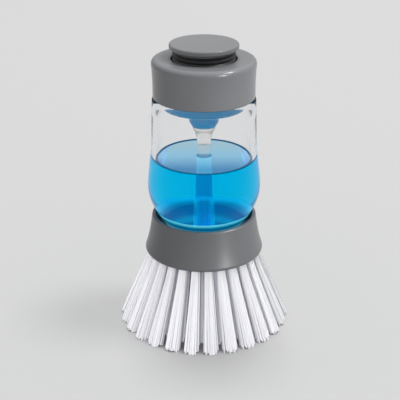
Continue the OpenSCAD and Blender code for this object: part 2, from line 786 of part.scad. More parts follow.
// One strand: a leaning bar of four sides with level ends
module strand(root, tip, low, high) {
  corners = [[-1, -1], [1, -1], [1, 1], [-1, 1]];
  points = concat(
    [for (c = corners) [tip[0] + c[0] * strand_tip, tip[1] + c[1] * strand_tip, low]],
    [for (c = corners) [root[0] + c[0] * strand_root, root[1] + c[1] * strand_root, high]]
  );
  polyhedron(points, [
    [0, 1, 2], [0, 2, 3], [4, 6, 5], [4, 7, 6],
    [0, 5, 1], [0, 4, 5], [1, 6, 2], [1, 5, 6], [2, 7, 3], [2, 6, 7], [3, 4, 0], [3, 7, 4]
  ]);
}

module tuft_ring(g, outer, inner) {
  half = g[0] / 2;
  fan = fan_tip(g);
  color("white") union() {
    ring(outer, inner, face_z, face_top_z);
    for (k = [0:g[0] - 1]) {
      a = g[3] + 360 * k / g[0];
      rotate([0, 0, a]) for (i = [0:6]) {
        s = strand_places[i];
        strand(
          [s[1] * fan_root, -g[1] - s[0] * fan_root], [s[1] * fan, -g[2] - s[0] * fan],
          tip_ragged * ragged(k % half, i), face_z + face_t / 2
        );
      }
    }
  }
}

module bristles_outer() {
  tuft_ring(outer_ring, plate_r - gap / 2, outer_edge + gap / 2);
}

module bristles_second() {
  tuft_ring(second_ring, outer_edge - gap / 2, second_edge + gap / 2);
}

module bristles_third() {
  tuft_ring(third_ring, second_edge - gap / 2, third_edge + gap / 2);
}

module bristles_inner() {
  tuft_ring(inner_ring, third_edge - gap / 2, plate_bore_r);
}

echo(overall_height = top_z);
echo(return_spring_gap = coil_gap(return_r, return_low, return_high, return_wire, return_turns));
echo(valve_spring_gap = coil_gap(valve_spring_r, spring_low, spring_high, valve_wire, valve_turns));

push_button();
button_bellows();
bellows_ring();
return_spring();
push_rod();
rod_seal();
screw_cap();
cap_insert();
cap_gasket();
tank();
soap_fill();
valve_housing();
valve_gasket();
valve_seat();
valve_poppet();
valve_spring();
outlet_nozzle();
valve_nut();
collar();
brush_plate();
tuft_anchors();
bristles_outer();
bristles_second();
bristles_third();
bristles_inner();
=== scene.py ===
"""The finished look of a palm-held, soap-dispensing dish brush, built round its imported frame."""
import math
import random

import bpy
from mathutils import Matrix, Vector


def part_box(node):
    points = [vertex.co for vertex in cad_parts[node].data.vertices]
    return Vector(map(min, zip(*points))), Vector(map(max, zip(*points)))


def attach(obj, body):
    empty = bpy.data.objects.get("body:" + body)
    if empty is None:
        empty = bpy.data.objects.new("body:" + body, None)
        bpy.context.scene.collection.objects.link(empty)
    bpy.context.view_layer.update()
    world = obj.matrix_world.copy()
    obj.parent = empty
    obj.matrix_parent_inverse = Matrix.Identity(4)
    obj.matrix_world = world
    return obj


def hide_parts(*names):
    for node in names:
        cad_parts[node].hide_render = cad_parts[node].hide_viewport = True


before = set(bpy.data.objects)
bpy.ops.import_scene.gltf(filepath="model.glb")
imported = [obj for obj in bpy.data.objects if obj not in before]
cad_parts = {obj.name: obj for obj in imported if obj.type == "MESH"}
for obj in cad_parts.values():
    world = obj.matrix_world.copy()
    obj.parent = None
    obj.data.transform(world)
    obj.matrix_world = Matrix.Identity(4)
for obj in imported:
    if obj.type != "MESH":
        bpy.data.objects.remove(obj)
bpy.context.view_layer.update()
MM = 0.001


def span(node):
    """Lowest and highest corner of a node, in millimetres."""
    low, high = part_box(node)
    return low / MM, high / MM


# Places read from the frame, in millimetres
FACE = span("bristles_outer")[1].z
RIM = span("collar")[1].z
SOAP_TOP = span("soap_fill")[1].z
TANK_LOW, TANK_HIGH = span("tank")
ROD_LOW, ROD_HIGH = span("push_rod")


# Camera, fitted to the circles of the photograph, which is 400 pixels wide and high
PHOTO_SIDE = 400
SENSOR = 36
LENS = 94.09
CAMERA_PITCH = 22.727
CAMERA_PLACE = (0, -397.9, 226.5)
# Pixels from the photograph's middle to the middle of the brush
BRUSH_RIGHT = 4.0
BRUSH_UP = 15.1


def aim_camera():
    camera = bpy.data.objects.new("camera", bpy.data.cameras.new("camera"))
    bpy.context.scene.collection.objects.link(camera)
    camera.data.sensor_width = SENSOR
    camera.data.lens = LENS
    camera.data.shift_x = -BRUSH_RIGHT / PHOTO_SIDE
    camera.data.shift_y = -BRUSH_UP / PHOTO_SIDE
    camera.location = Vector(CAMERA_PLACE) * MM
    camera.rotation_euler = (math.radians(90 - CAMERA_PITCH), 0, 0)
    bpy.context.scene.camera = camera


# Studio: a surround that is paler above, and soft lamps
LIGHT_BOUNCES = 48
SURROUND_LOW = 0.3
SURROUND_HIGH = 0.88
BRUSH_MIDDLE = Vector((0, 0, 60)) * MM
LAMP_DISTANCE = 4.0
WHITE = (1, 1, 1)
COOL = (0.93, 0.93, 1.0)

# Each lamp's bearing and height are in degrees, its size in metres and its power in watts
LAMPS = {
    "key": {"bearing": 92, "height": 66, "size": (1.0, 1.0), "power": 44.0},
    "back": {"bearing": 184, "height": 74, "size": (1.2, 1.2), "power": 80.0},
    "strip": {"bearing": 42, "height": 10, "size": (0.6, 2.6), "power": 108.0},
    "spark": {"bearing": 80, "height": 53, "size": (0.3, 0.3), "power": 66.0},
    "fill": {"bearing": -18, "height": 13, "size": (1.6, 1.6), "power": 54.0, "colour": COOL},
    "deep fill": {"bearing": -6, "height": 24, "size": (1.6, 1.6), "power": 84.0, "colour": COOL},
}


def add_lamp(name, bearing, height, size, power, colour=WHITE):
    """A soft lamp aimed at the brush; its bearing runs from the front round to the right."""
    lamp = bpy.data.objects.new(name, bpy.data.lights.new(name, "AREA"))
    bpy.context.scene.collection.objects.link(lamp)
    lamp.data.shape = "RECTANGLE"
    lamp.data.size, lamp.data.size_y = size
    lamp.data.energy = power
    lamp.data.color = colour
    lamp.visible_transmission = False
    turn, rise = math.radians(bearing), math.radians(height)
    away = Vector((math.sin(turn) * math.cos(rise), -math.cos(turn) * math.cos(rise), math.sin(rise)))
    lamp.location = BRUSH_MIDDLE + away * LAMP_DISTANCE
    lamp.rotation_euler = away.to_track_quat("Z", "Y").to_euler()
    return lamp


def light_studio():
    scene = bpy.context.scene
    scene.view_settings.view_transform = "Standard"
    scene.cycles.max_bounces = LIGHT_BOUNCES
    scene.cycles.transmission_bounces = LIGHT_BOUNCES
    scene.world = bpy.data.worlds.new("studio")
    scene.world.use_nodes = True
    nodes, links = scene.world.node_tree.nodes, scene.world.node_tree.links
    heights = nodes.new("ShaderNodeSeparateXYZ")
    links.new(nodes.new("ShaderNodeTexCoord").outputs["Generated"], heights.inputs[0])
    brightness = nodes.new("ShaderNodeMapRange")
    links.new(heights.outputs["Z"], brightness.inputs["Value"])
    brightness.inputs["To Min"].default_value = SURROUND_LOW
    brightness.inputs["To Max"].default_value = SURROUND_HIGH
    nodes["Background"].inputs["Color"].default_value = (*WHITE, 1)
    links.new(brightness.outputs[0], nodes["Background"].inputs["Strength"])
    for name in ("key", "back"):
        lamp = add_lamp(name, **LAMPS[name])
        lamp.visible_glossy = False


def light_only(name, pieces):
    """A lamp whose light reaches only some pieces."""
    lamp = add_lamp(name, **LAMPS[name])
    lit = bpy.data.collections.new(name + " lights")
    for piece in pieces:
        lit.objects.link(piece)
    lamp.light_linking.receiver_collection = lit


def light_pieces(tufts):
    """Highlights on the grey mouldings, and light between the tufts."""
    mouldings = [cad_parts[node] for node in ("screw_cap", "collar")]
    button = [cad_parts[node] for node in ("push_button", "button_bellows")]
    inner_rings = tufts[1:]
    light_only("strip", mouldings)
    light_only("spark", button + mouldings)
    light_only("fill", tufts)
    light_only("deep fill", inner_rings)


# Node maths
class Wire:
    """A value in a finish's nodes, so that sums of such values read as plain arithmetic."""

    def __init__(self, finish, socket):
        self.finish = finish
        self.socket = socket

    def maths(self, operation, first, second):
        return self.finish.node("Math", {0: first, 1: second}, operation=operation)

    def __add__(self, other):
        return self.maths("ADD", self, other)

    def __radd__(self, other):
        return self.maths("ADD", other, self)

    def __sub__(self, other):
        return self.maths("SUBTRACT", self, other)

    def __rsub__(self, other):
        return self.maths("SUBTRACT", other, self)

    def __mul__(self, other):
        return self.maths("MULTIPLY", self, other)

    def __rmul__(self, other):
        return self.maths("MULTIPLY", other, self)


class Finish:
    """A material whose nodes are added one at a time by node() and shown by surface()."""

    def __init__(self, name):
        self.material = bpy.data.materials.new(name)
        self.material.use_nodes = True
        self.tree = self.material.node_tree
        self.tree.nodes.clear()
        self.places = self.node("TexCoord", {}, out="Object")

    def node(self, kind, sockets, out=0, stops=None, **settings):
        """Adds a node, sets or wires its sockets, and gives one of its outputs."""
        made = self.tree.nodes.new("ShaderNode" + kind)
        for setting, value in settings.items():
            setattr(made, setting, value)
        if stops:
            ramp = made.color_ramp
            while len(ramp.elements) < len(stops):
                ramp.elements.new(0.5)
            for element, (place, colour) in zip(ramp.elements, stops):
                element.position = place
                element.color = (*colour, 1)
        for key, value in sockets.items():
            if isinstance(value, Wire):
                self.tree.links.new(value.socket, made.inputs[key])
            else:
                made.inputs[key].default_value = value
        return Wire(self, made.outputs[out])

    def noise(self, scale, detail=2.0, roughness=0.5, places=None):
        return self.node("TexNoise", {
            "Vector": places or self.places,
            "Scale": scale,
            "Detail": detail,
            "Roughness": roughness,
        })

    def along(self, axis):
        """Place along an axis, in metres."""
        return self.node("SeparateXYZ", {0: self.places}, out=axis)

    def climb(self, place, low, high):
        """0 where a place is at low or under it, 1 at high or over it; low and high in millimetres."""
        return self.node("MapRange", {"Value": place, "From Min": low * MM, "From Max": high * MM})

    def blend(self, share, first, second):
        sockets = {0: share, 6: (*first, 1), 7: (*second, 1)}
        return self.node("Mix", sockets, out=2, data_type="RGBA")

    def bump(self, height, depth_mm):
        return self.node("Bump", {"Height": height, "Distance": depth_mm * MM, "Strength": 1.0})

    def absorption(self, colour, density):
        return self.node("VolumeAbsorption", {"Color": (*colour, 1), "Density": density}, out="Volume")

    def surface(self, sockets, volume=None):
        """Ends the nodes in a surface, with a volume in it if one is given."""
        output = self.tree.nodes.new("ShaderNodeOutputMaterial")
        ends = {"Surface": self.node("BsdfPrincipled", sockets, out="BSDF")}
        if volume:
            ends["Volume"] = volume
        for key, wire in ends.items():
            self.tree.links.new(wire.socket, output.inputs[key])
        return self.material


# Finishes. Noise is counted per metre, so that a larger number is a finer pattern.
MOULD_GRAIN = 2600
ELASTOMER_GRAIN = 1800
GASKET_GRAIN = 1500
DIE_LINES = 900
FILAMENT_STREAKS = 700
PAPER_FIBRE = 300
HAZE = 220
DUST = 160
MOULD_FLOW = 140
FROST = 120
SOAP_RIPPLE = 60
HANDLING = 55
WALL_WAVES = 45

PLASTIC_INDEX = 1.49
WALL_ABSORPTION = (0.72, 0.8, 0.87)
WARM_GLOW = (1.0, 0.95, 0.88)
FAINT_GLOSS = (0.18, 0.18, 0.18, 1)


def grey_plastic(name, pale, dark, gloss):
    """Spark-eroded grey moulding: a fine even grain, with faint rubbed and duller areas."""
    f = Finish(name)
    grain = f.noise(MOULD_GRAIN, detail=1.0)
    rubbed = f.noise(HANDLING, detail=3.0, roughness=0.6)
    return f.surface({
        "Base Color": f.blend(rubbed, dark, pale),
        "Roughness": gloss + 0.1 * rubbed + 0.06 * grain,
        "Normal": f.bump(grain, depth_mm=0.006),
    })


def dark_elastomer():
    f = Finish("dark_elastomer")
    grain = f.noise(ELASTOMER_GRAIN)
    dust = f.noise(DUST, detail=3.0)
    return f.surface({
        "Base Color": f.blend(dust, (0.015, 0.015, 0.017), (0.034, 0.034, 0.037)),
        "Roughness": 0.42 + 0.12 * grain,
        "Normal": f.bump(grain, depth_mm=0.01),
    })


def pale_elastomer():
    f = Finish("pale_elastomer")
    grain = f.noise(GASKET_GRAIN)
    return f.surface({
        "Base Color": f.blend(grain, (0.62, 0.66, 0.68), (0.72, 0.75, 0.77)),
        "Roughness": 0.5 + 0.1 * grain,
        "Normal": f.bump(grain, depth_mm=0.01),
    })


def natural_plastic():
    f = Finish("natural_plastic")
    flow = f.noise(MOULD_FLOW, detail=3.0)
    return f.surface({
        "Base Color": f.blend(flow, (0.62, 0.62, 0.6), (0.72, 0.72, 0.7)),
        "Roughness": 0.38 + 0.1 * flow,
        "Normal": f.bump(flow, depth_mm=0.02),
    })


def clear_plastic(name, tint, index, wave_mm=0.012, clearness=1.0, glow=0.0, blur=0.015, density=0.0):
    """Clear moulding, nearly smooth, with faint long waves; the glow is painted light, standing for light
    in its wall.
    """
    f = Finish(name)
    waves = f.noise(WALL_WAVES, detail=1.0)
    haze = f.noise(HAZE)
    absorbed = f.absorption(WALL_ABSORPTION, density) if density else None
    return f.surface({
        "Base Color": (*tint, 1),
        "Roughness": blur + 0.02 * haze,
        "Transmission Weight": clearness,
        "IOR": index,
        "Specular Tint": FAINT_GLOSS,
        "Emission Color": (*WARM_GLOW, 1),
        "Emission Strength": glow,
        "Normal": f.bump(waves, wave_mm),
    }, absorbed)


def frosted_blue():
    """Translucent blue moulding of the insert under the cap."""
    f = Finish("frosted_blue")
    flow = f.noise(FROST)
    return f.surface({
        "Base Color": f.blend(flow, (0.03, 0.45, 0.84), (0.24, 0.68, 0.97)),
        # A faint blue emission: painted light on the insert inside the tank
        "Emission Color": (0.1, 0.35, 0.6, 1),
        "Emission Strength": 0.04,
        "Roughness": 0.07 + 0.06 * flow,
        "Transmission Weight": 0.5,
        "IOR": PLASTIC_INDEX,
        "Normal": f.bump(flow, depth_mm=0.015),
    })


def drawn_wire(name, tint):
    """Bright wire, with fine die lines."""
    f = Finish(name)
    lines = f.noise(DIE_LINES, detail=3.0)
    return f.surface({
        "Base Color": (*tint, 1),
        "Metallic": 1.0,
        "Roughness": 0.22 + 0.14 * lines,
        "Normal": f.bump(lines, depth_mm=0.006),
    })


def white_bristle():
    """Nylon filament; tuft_mesh gives each strand a random tone, and painted shade towards the roots of the
    inner rings.
    """
    f = Finish("white_bristle")
    shade = f.node("Attribute", {}, out="Fac", attribute_name="shade")
    streak = f.noise(FILAMENT_STREAKS, detail=1.0)
    return f.surface({
        "Base Color": f.blend(shade, (0.6, 0.6, 0.67), (0.99, 0.99, 1.0)),
        "Roughness": 0.36 + 0.14 * streak,
        "Specular IOR Level": 0.4,
        "Normal": f.bump(streak, depth_mm=0.01),
    })


def paper():
    f = Finish("paper")
    fibre = f.noise(PAPER_FIBRE, detail=3.0)
    return f.surface({
        "Base Color": f.blend(fibre, (0.505, 0.505, 0.505), (0.515, 0.515, 0.515)),
        "Roughness": 0.85,
        "Specular IOR Level": 0.2,
    })


# Modelling helpers
WELD = 0.01 * MM
BODY_STEPS = 96
ROD_STEPS = 48


def choose(*pieces):
    bpy.ops.object.select_all(action="DESELECT")
    for piece in pieces:
        piece.select_set(True)
    bpy.context.view_layer.objects.active = pieces[0]


def edit(piece):
    choose(piece)
    bpy.ops.object.mode_set(mode="EDIT")
    bpy.ops.mesh.select_all(action="SELECT")


def leave_edit():
    bpy.ops.object.mode_set(mode="OBJECT")


def finished(piece, name, body, material, nodes=(), crease=35):
    """Names a piece, gives it its finish and lets it ride on its body in place of its nodes."""
    piece.name = name
    piece.data.name = name
    piece.data.materials.clear()
    piece.data.materials.append(material)
    choose(piece)
    bpy.ops.object.transform_apply(location=True, rotation=True, scale=True)
    bpy.ops.object.shade_smooth_by_angle(angle=math.radians(crease))
    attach(piece, body)
    if nodes:
        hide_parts(*nodes)
    return piece


def draw_outline(outline, closed=True):
    """Draws a line through (radius, height) points in millimetres, and stays in edit mode."""
    bpy.ops.object.select_all(action="DESELECT")
    bpy.ops.mesh.primitive_plane_add(size=1)
    piece = bpy.context.object
    edit(piece)
    bpy.ops.mesh.select_mode(type="VERT")
    bpy.ops.mesh.merge(type="CENTER")
    points = [Vector((r, 0, z)) * MM for r, z in outline]
    bpy.ops.transform.translate(value=points[0])
    nexts = points[1:] + points[:1] if closed else points[1:]
    for before, after in zip(points, nexts):
        bpy.ops.mesh.extrude_vertices_move(TRANSFORM_OT_translate={"value": after - before})
    bpy.ops.mesh.select_all(action="SELECT")
    return piece


def turned(outline, steps=BODY_STEPS, closed=True):
    """Spins an outline about the brush's axis."""
    piece = draw_outline(outline, closed)
    bpy.ops.mesh.spin(steps=steps, angle=math.tau, center=(0, 0, 0), axis=(0, 0, 1))
    bpy.ops.mesh.select_all(action="SELECT")
    bpy.ops.mesh.remove_doubles(threshold=WELD)
    bpy.ops.mesh.normals_make_consistent(inside=False)
    leave_edit()
    return piece


def cubic(start, pull, push, end, steps):
    """Points of a cubic curve, without its first."""
    points = []
    for i in range(1, steps + 1):
        u = i / steps
        v = 1 - u
        share = (v ** 3, 3 * v * v * u, 3 * v * u * u, u ** 3)
        corners = (start, pull, push, end)
        points.append(tuple(sum(k * p[axis] for k, p in zip(share, corners)) for axis in (0, 1)))
    return points


def round_corner(centre, radius, first, last, steps=6):
    """Points of an arc from one angle to another, in degrees."""
    angles = [math.radians(first + (last - first) * i / steps) for i in range(steps + 1)]
    return [(centre[0] + radius * math.cos(a), centre[1] + radius * math.sin(a)) for a in angles]


# Bristles: tufts of fine filaments that fan out from the face of the brush, in millimetres
ROOT_SINK = 0.6
FILAMENT_STEPS = 4
FILAMENT_SIDES = 5
FILAMENT_ROOT = 0.2
FILAMENT_TIP = 0.32
TUFT_ROOT = 1.5
TUFT_TIP = 3.05
TUFT_DEPTH = 0.9
TUFT_KINDS = 4
TUFT_CREASE = 50

# How far filaments of one tuft differ
TURN_JITTER = 0.25
SPREAD_LESS, SPREAD_MORE = 0.25, 0.05
TIP_RAGGED = 1.8
TIP_JITTER = 0.22
SIDE_BOW = 0.15
BOW_LEAST, BOW_MOST = 0.35, 0.7
TONE_LEAST, TONE_MOST = 0.7, 1.0

# Each ring's radius at the face and at the tips, the bearing of its first tuft in degrees,
# the filaments in a tuft and how much painted shade darkens their roots
RINGS = {
    "outer": {"tufts": 26, "root": 20.4, "tip": 33.0, "turn": 4.9, "filaments": 100, "painted_shade": 0.0},
    "second": {"tufts": 20, "root": 16.33, "tip": 25.47, "turn": 10.9, "filaments": 56, "painted_shade": 0.85},
    "third": {"tufts": 14, "root": 12.27, "tip": 17.93, "turn": 4.9, "filaments": 44, "painted_shade": 0.85},
    "inner": {"tufts": 8, "root": 8.2, "tip": 10.4, "turn": 13.9, "filaments": 44, "painted_shade": 0.85},
}


def model_filament():
    """One straight filament of unit length along -Z, with rings to bend it at."""
    bpy.ops.object.select_all(action="DESELECT")
    bpy.ops.mesh.primitive_cylinder_add(
        vertices=FILAMENT_SIDES, radius=1, depth=1, location=(0, 0, -0.5), end_fill_type="NGON")
    piece = bpy.context.object
    edit(piece)
    for step in range(1, FILAMENT_STEPS):
        bpy.ops.mesh.select_all(action="SELECT")
        bpy.ops.mesh.bisect(plane_co=(0, 0, 0.5 - step / FILAMENT_STEPS), plane_no=(0, 0, 1))
    leave_edit()
    choose(piece)
    bpy.ops.object.transform_apply(location=True, rotation=True, scale=True)
    return piece


def bent_filament(pattern, root, tip, bow):
    """Points of the filament laid from root to tip with a small bow."""
    points = []
    for corner in pattern:
        share = -corner.z
        thick = FILAMENT_ROOT + (FILAMENT_TIP - FILAMENT_ROOT) * share
        middle = root + (tip - root) * share + bow * math.sin(math.pi * share)
        points.append((middle + Vector((corner.x, corner.y, 0)) * thick) * MM)
    return points


def tuft_mesh(name, pattern, faces, ring, draw):
    """One tuft at the front of its ring: filaments spread evenly over a disc."""
    corners, sides, shades = [], [], []
    count = ring["filaments"]
    golden = math.pi * (3 - math.sqrt(5))
    for k in range(count):
        reach = math.sqrt((k + 0.5) / count)
        turn = k * golden + draw.uniform(-TURN_JITTER, TURN_JITTER)
        out, side = reach * math.cos(turn), reach * math.sin(turn)
        root = Vector((side * TUFT_ROOT, -ring["root"] - out * TUFT_ROOT, FACE + ROOT_SINK))
        spread = TUFT_TIP + draw.uniform(-SPREAD_LESS, SPREAD_MORE)
        end = TIP_RAGGED * draw.random() ** 2
        tip = Vector((side * spread, -ring["tip"] - out * spread * TUFT_DEPTH, end))
        tip += Vector((draw.uniform(-TIP_JITTER, TIP_JITTER), draw.uniform(-TIP_JITTER, TIP_JITTER), 0))
        bow = Vector((draw.uniform(-SIDE_BOW, SIDE_BOW), draw.uniform(BOW_LEAST, BOW_MOST), 0))
        first = len(corners)
        corners += bent_filament(pattern, root, tip, bow)
        sides += [[first + i for i in face] for face in faces]
        tone = draw.uniform(TONE_LEAST, TONE_MOST)
        # Each strand's tone varies at random; in the inner rings painted shade darkens it towards the root
        shades += [tone * (1 - ring["painted_shade"] * (1 + corner.z)) for corner in pattern]
    mesh = bpy.data.meshes.new(name)
    mesh.from_pydata(corners, [], sides)
    mesh.attributes.new("shade", "FLOAT", "POINT").data.foreach_set("value", shades)
    return mesh


def bristle_ring(which, pattern, faces, material):
    """A ring of tufts, each a turned copy of one of a few kinds."""
    ring = RINGS[which]
    draw = random.Random("bristles " + which)
    kinds = [tuft_mesh(f"tuft_{which}_{k}", pattern, faces, ring, draw) for k in range(TUFT_KINDS)]
    tufts = []
    for k in range(ring["tufts"]):
        mesh = kinds[draw.randrange(TUFT_KINDS)].copy()
        angle = ring["turn"] + 360 * k / ring["tufts"]
        mesh.transform(Matrix.Rotation(math.radians(angle), 4, "Z"))
        tuft = bpy.data.objects.new("tuft", mesh)
        bpy.context.scene.collection.objects.link(tuft)
        tufts.append(tuft)
    choose(*tufts)
    bpy.ops.object.join()
    return finished(bpy.context.object, f"tufts_{which}", "brush_head", material,
                    [f"bristles_{which}"], TUFT_CREASE)


def plant_bristles():
    """All the rings, the outer one first."""
    material = white_bristle()
    filament = model_filament()
    pattern = [v.co.copy() for v in filament.data.vertices]
    faces = [list(p.vertices) for p in filament.data.polygons]
    planted = [bristle_ring(which, pattern, faces, material) for which in RINGS]
    bpy.data.objects.remove(filament)
    return planted


# Tank: one clear moulding with smooth curves, in millimetres
WALL = 2.2
EDGE = 0.3
BELLY, BELLY_Z = TANK_HIGH.x, RIM + 12.6
WAIST, WAIST_Z = 21.35, BELLY_Z + 16.5
FLOOR = RIM - 5.9
FLOOR_TOP = FLOOR + 2.0
FLOOR_RADIUS = 14.5
FLOOR_FILLET, FILLET_RISE = 0.7, 0.4
SHOULDER = TANK_HIGH.z - 10.1
SHOULDER_RADIUS = 20.9
SHOULDER_ROUND = 0.9
NECK, NECK_BORE = 18.2, 17.0
NECK_SLOPE = 2.2
SKIRT, SKIRT_BORE = 12.0, 10.6
VALVE_HOLE = 6.2
TANK_CREASE = 32

# Pulls of the bowl's and the waist's curves, as shares of their width and height
BOWL_WIDE, BOWL_LOW, BOWL_HIGH = 0.465, 0.3, 0.38
WAIST_LOW, WAIST_WIDE, WAIST_HIGH = 0.33, 0.2, 0.8
WALL_STEPS = 26

# How far the bore's slope pulls on the wall under it, and ends on it
SLOPE_PULL, SLOPE_END, SLOPE_STEPS = 1.5, 5, 14

# Bayonet lugs, raised from the skirt
LUGS = 3
LUG_TOP = 40.2
LUG_REACH = 1.8
LUG_HALF = 12
ON_SKIRT = 0.2


def belly_line():
    """Outside of the tank from its floor up to the waist."""
    bowl, width = BELLY_Z - FLOOR, BELLY - FLOOR_RADIUS
    length = WAIST_Z - BELLY_Z
    low = cubic((FLOOR_RADIUS, FLOOR), (FLOOR_RADIUS + BOWL_WIDE * width, FLOOR + BOWL_LOW * bowl),
                (BELLY, BELLY_Z - BOWL_HIGH * bowl), (BELLY, BELLY_Z), WALL_STEPS)
    high = cubic((BELLY, BELLY_Z), (BELLY, BELLY_Z + WAIST_LOW * length),
                 (WAIST + WAIST_WIDE * (BELLY - WAIST), BELLY_Z + WAIST_HIGH * length),
                 (WAIST, WAIST_Z), WALL_STEPS)
    return low + high


def inner_line(wall):
    """Inside of a wall of this thickness, from the floor up to the waist."""
    return [(r - wall, z) for r, z in belly_line() if z > FLOOR_TOP + FILLET_RISE]


def tank_outline():
    """Half a section of the tank, from the valve's hole round the outside and back down the inside."""
    inside = inner_line(WALL)
    bore_foot = SHOULDER - NECK_SLOPE
    slope_foot = bore_foot - NECK_SLOPE
    wall_inside = SHOULDER_RADIUS - WALL
    corner = (SHOULDER_RADIUS - SHOULDER_ROUND, SHOULDER - SHOULDER_ROUND)
    outline = [(VALVE_HOLE, FLOOR), (SKIRT_BORE, FLOOR), (SKIRT_BORE, TANK_LOW.z), (SKIRT, TANK_LOW.z)]
    outline += [(SKIRT, LUG_TOP), (SKIRT, FLOOR), (FLOOR_RADIUS, FLOOR)]
    outline += belly_line() + round_corner(corner, SHOULDER_ROUND, 0, 90)
    outline += [(NECK + EDGE, SHOULDER), (NECK, SHOULDER + EDGE), (NECK, TANK_HIGH.z - EDGE)]
    outline += [(NECK - EDGE, TANK_HIGH.z), (NECK_BORE, TANK_HIGH.z), (NECK_BORE, bore_foot)]
    outline += cubic((NECK_BORE, bore_foot), (NECK_BORE, slope_foot),
                     (wall_inside, slope_foot - SLOPE_PULL),
                     (wall_inside, slope_foot - SLOPE_END), SLOPE_STEPS)
    outline += inside[::-1]
    outline += [(inside[0][0] - FLOOR_FILLET, FLOOR_TOP), (VALVE_HOLE, FLOOR_TOP)]
    return outline


def raise_lugs(piece):
    """Raises the bayonet's lugs from the faces of the skirt's foot, the first at the front."""
    edit(piece)
    bpy.ops.mesh.select_all(action="DESELECT")
    bpy.ops.mesh.select_mode(type="FACE")
    leave_edit()
    share = 360 / LUGS
    for face in piece.data.polygons:
        middle = face.center / MM
        bearing = math.degrees(math.atan2(middle.x, -middle.y)) % share
        off_centre = min(bearing, share - bearing)
        on_skirt = abs(math.hypot(middle.x, middle.y) - SKIRT) < ON_SKIRT
        face.select = on_skirt and middle.z < LUG_TOP and off_centre < LUG_HALF
    bpy.ops.object.mode_set(mode="EDIT")
    bpy.ops.mesh.extrude_region_shrink_fatten(TRANSFORM_OT_shrink_fatten={"value": LUG_REACH * MM})
    leave_edit()


def mould_tank(material):
    piece = turned(tank_outline())
    raise_lugs(piece)
    finished(piece, "tank_moulding", "tank_unit", material, ["tank"], TANK_CREASE)


# Thread: a bead round the neck, sunk a little into it, in millimetres
THREAD_CREST = 18.7
THREAD_ROOT = NECK - 0.15
THREAD_FOOT, THREAD_TIP = 0.55, 0.2
THREAD_START = SHOULDER + 2.2
THREAD_PITCH = 3.0
THREAD_TURNS = 1.4
THREAD_STEPS = 100


def wind_thread(material):
    """A closed outline screwed about the axis, with its two ends filled."""
    piece = draw_outline([
        (THREAD_ROOT, THREAD_START - THREAD_FOOT), (THREAD_CREST, THREAD_START - THREAD_TIP),
        (THREAD_CREST, THREAD_START + THREAD_TIP), (THREAD_ROOT, THREAD_START + THREAD_FOOT),
    ])
    bpy.ops.mesh.remove_doubles(threshold=WELD)
    leave_edit()
    screw = piece.modifiers.new("winding", "SCREW")
    screw.angle = math.tau * THREAD_TURNS
    screw.screw_offset = THREAD_PITCH * THREAD_TURNS * MM
    screw.steps = THREAD_STEPS
    screw.render_steps = THREAD_STEPS
    bpy.ops.object.modifier_apply(modifier="winding")
    edit(piece)
    bpy.ops.mesh.fill_holes(sides=0)
    bpy.ops.mesh.select_all(action="SELECT")
    bpy.ops.mesh.normals_make_consistent(inside=False)
    leave_edit()
    finished(piece, "neck_thread", "tank_unit", material)


# Rod: it fills the guide tube's bore, so that no air shows between them, in millimetres
ROD_TIP, ROD_TIP_EDGE = 1.2, 0.3
ROD_IN_GUIDE = 2.02
GUIDE_FOOT, GUIDE_TOP = ROD_LOW.z + 9.1, ROD_LOW.z + 26.5
GUIDE_SLOPE, SHANK_SLOPE = 0.4, 0.6
SHANK, SHANK_TOP = 2.5, ROD_LOW.z + 30.5
STOP, STOP_TOP = ROD_HIGH.x, ROD_LOW.z + 41.8
STOP_RIM, STOP_EDGE = 0.9, 0.15
ROD_HEAD = 3.3

# Pulls of the flare under the stop: how far out from the shank, and how far above its top
FLARE_PULLS = ((0.15, 5.0), (0.7, 7.4))
FLARE_STEPS = 16


def turn_rod(dry, wet):
    """The rod; under the soap its surface bends light less."""
    outline = [(0, ROD_LOW.z), (ROD_TIP - ROD_TIP_EDGE, ROD_LOW.z), (ROD_TIP, ROD_LOW.z + ROD_TIP_EDGE)]
    outline += [(ROD_TIP, GUIDE_FOOT), (ROD_IN_GUIDE, GUIDE_FOOT + GUIDE_SLOPE)]
    outline += [(ROD_IN_GUIDE, GUIDE_TOP - SHANK_SLOPE), (SHANK, GUIDE_TOP), (SHANK, SHANK_TOP)]
    pulls = [(SHANK + out, SHANK_TOP + up) for out, up in FLARE_PULLS]
    outline += cubic((SHANK, SHANK_TOP), *pulls, (STOP, STOP_TOP - STOP_RIM), FLARE_STEPS)
    outline += [(STOP, STOP_TOP - STOP_EDGE), (STOP - STOP_EDGE, STOP_TOP)]
    outline += [(ROD_HEAD, STOP_TOP), (ROD_HEAD, ROD_HIGH.z - EDGE), (ROD_HEAD - EDGE, ROD_HIGH.z)]
    outline += [(0, ROD_HIGH.z)]
    rod = finished(turned(outline, ROD_STEPS, closed=False), "rod_moulding", "plunger", dry,
                   ["push_rod"])
    rod.data.materials.append(wet)
    for face in rod.data.polygons:
        face.material_index = int(face.center.z / MM < GUIDE_TOP)


# Soap: it runs a little way into the wall, so that no air shows between them, in millimetres
SOAP_GROWTH = 0.12
SOAP_FILLET = 0.6
SOAP_CREASE = 50
OVERLAP = 0.08
MENISCUS = 0.5
MENISCUS_RADIUS = 18.6
TUBE, TUBE_BORE = 3.25, 1.98
FLANGE = 9.0
FLANGE_TOP = RIM - 2.5
INLETS = 4
INLET_Z = FLANGE_TOP + 0.8
INLET_WIDTH, INLET_HEIGHT = 2.0, 4.0
INLET_EDGE = 0.1

# Pulls and end of the meniscus's curve, measured from the wall and from the tube
WALL_MENISCUS, WALL_MENISCUS_STEPS = (0.5, 1.2, 2.4), 8
TUBE_MENISCUS, TUBE_MENISCUS_STEPS = (0.3, 1.0, 2.0), 6
MENISCUS_PULL = 0.1
BELOW_MENISCUS = 0.5


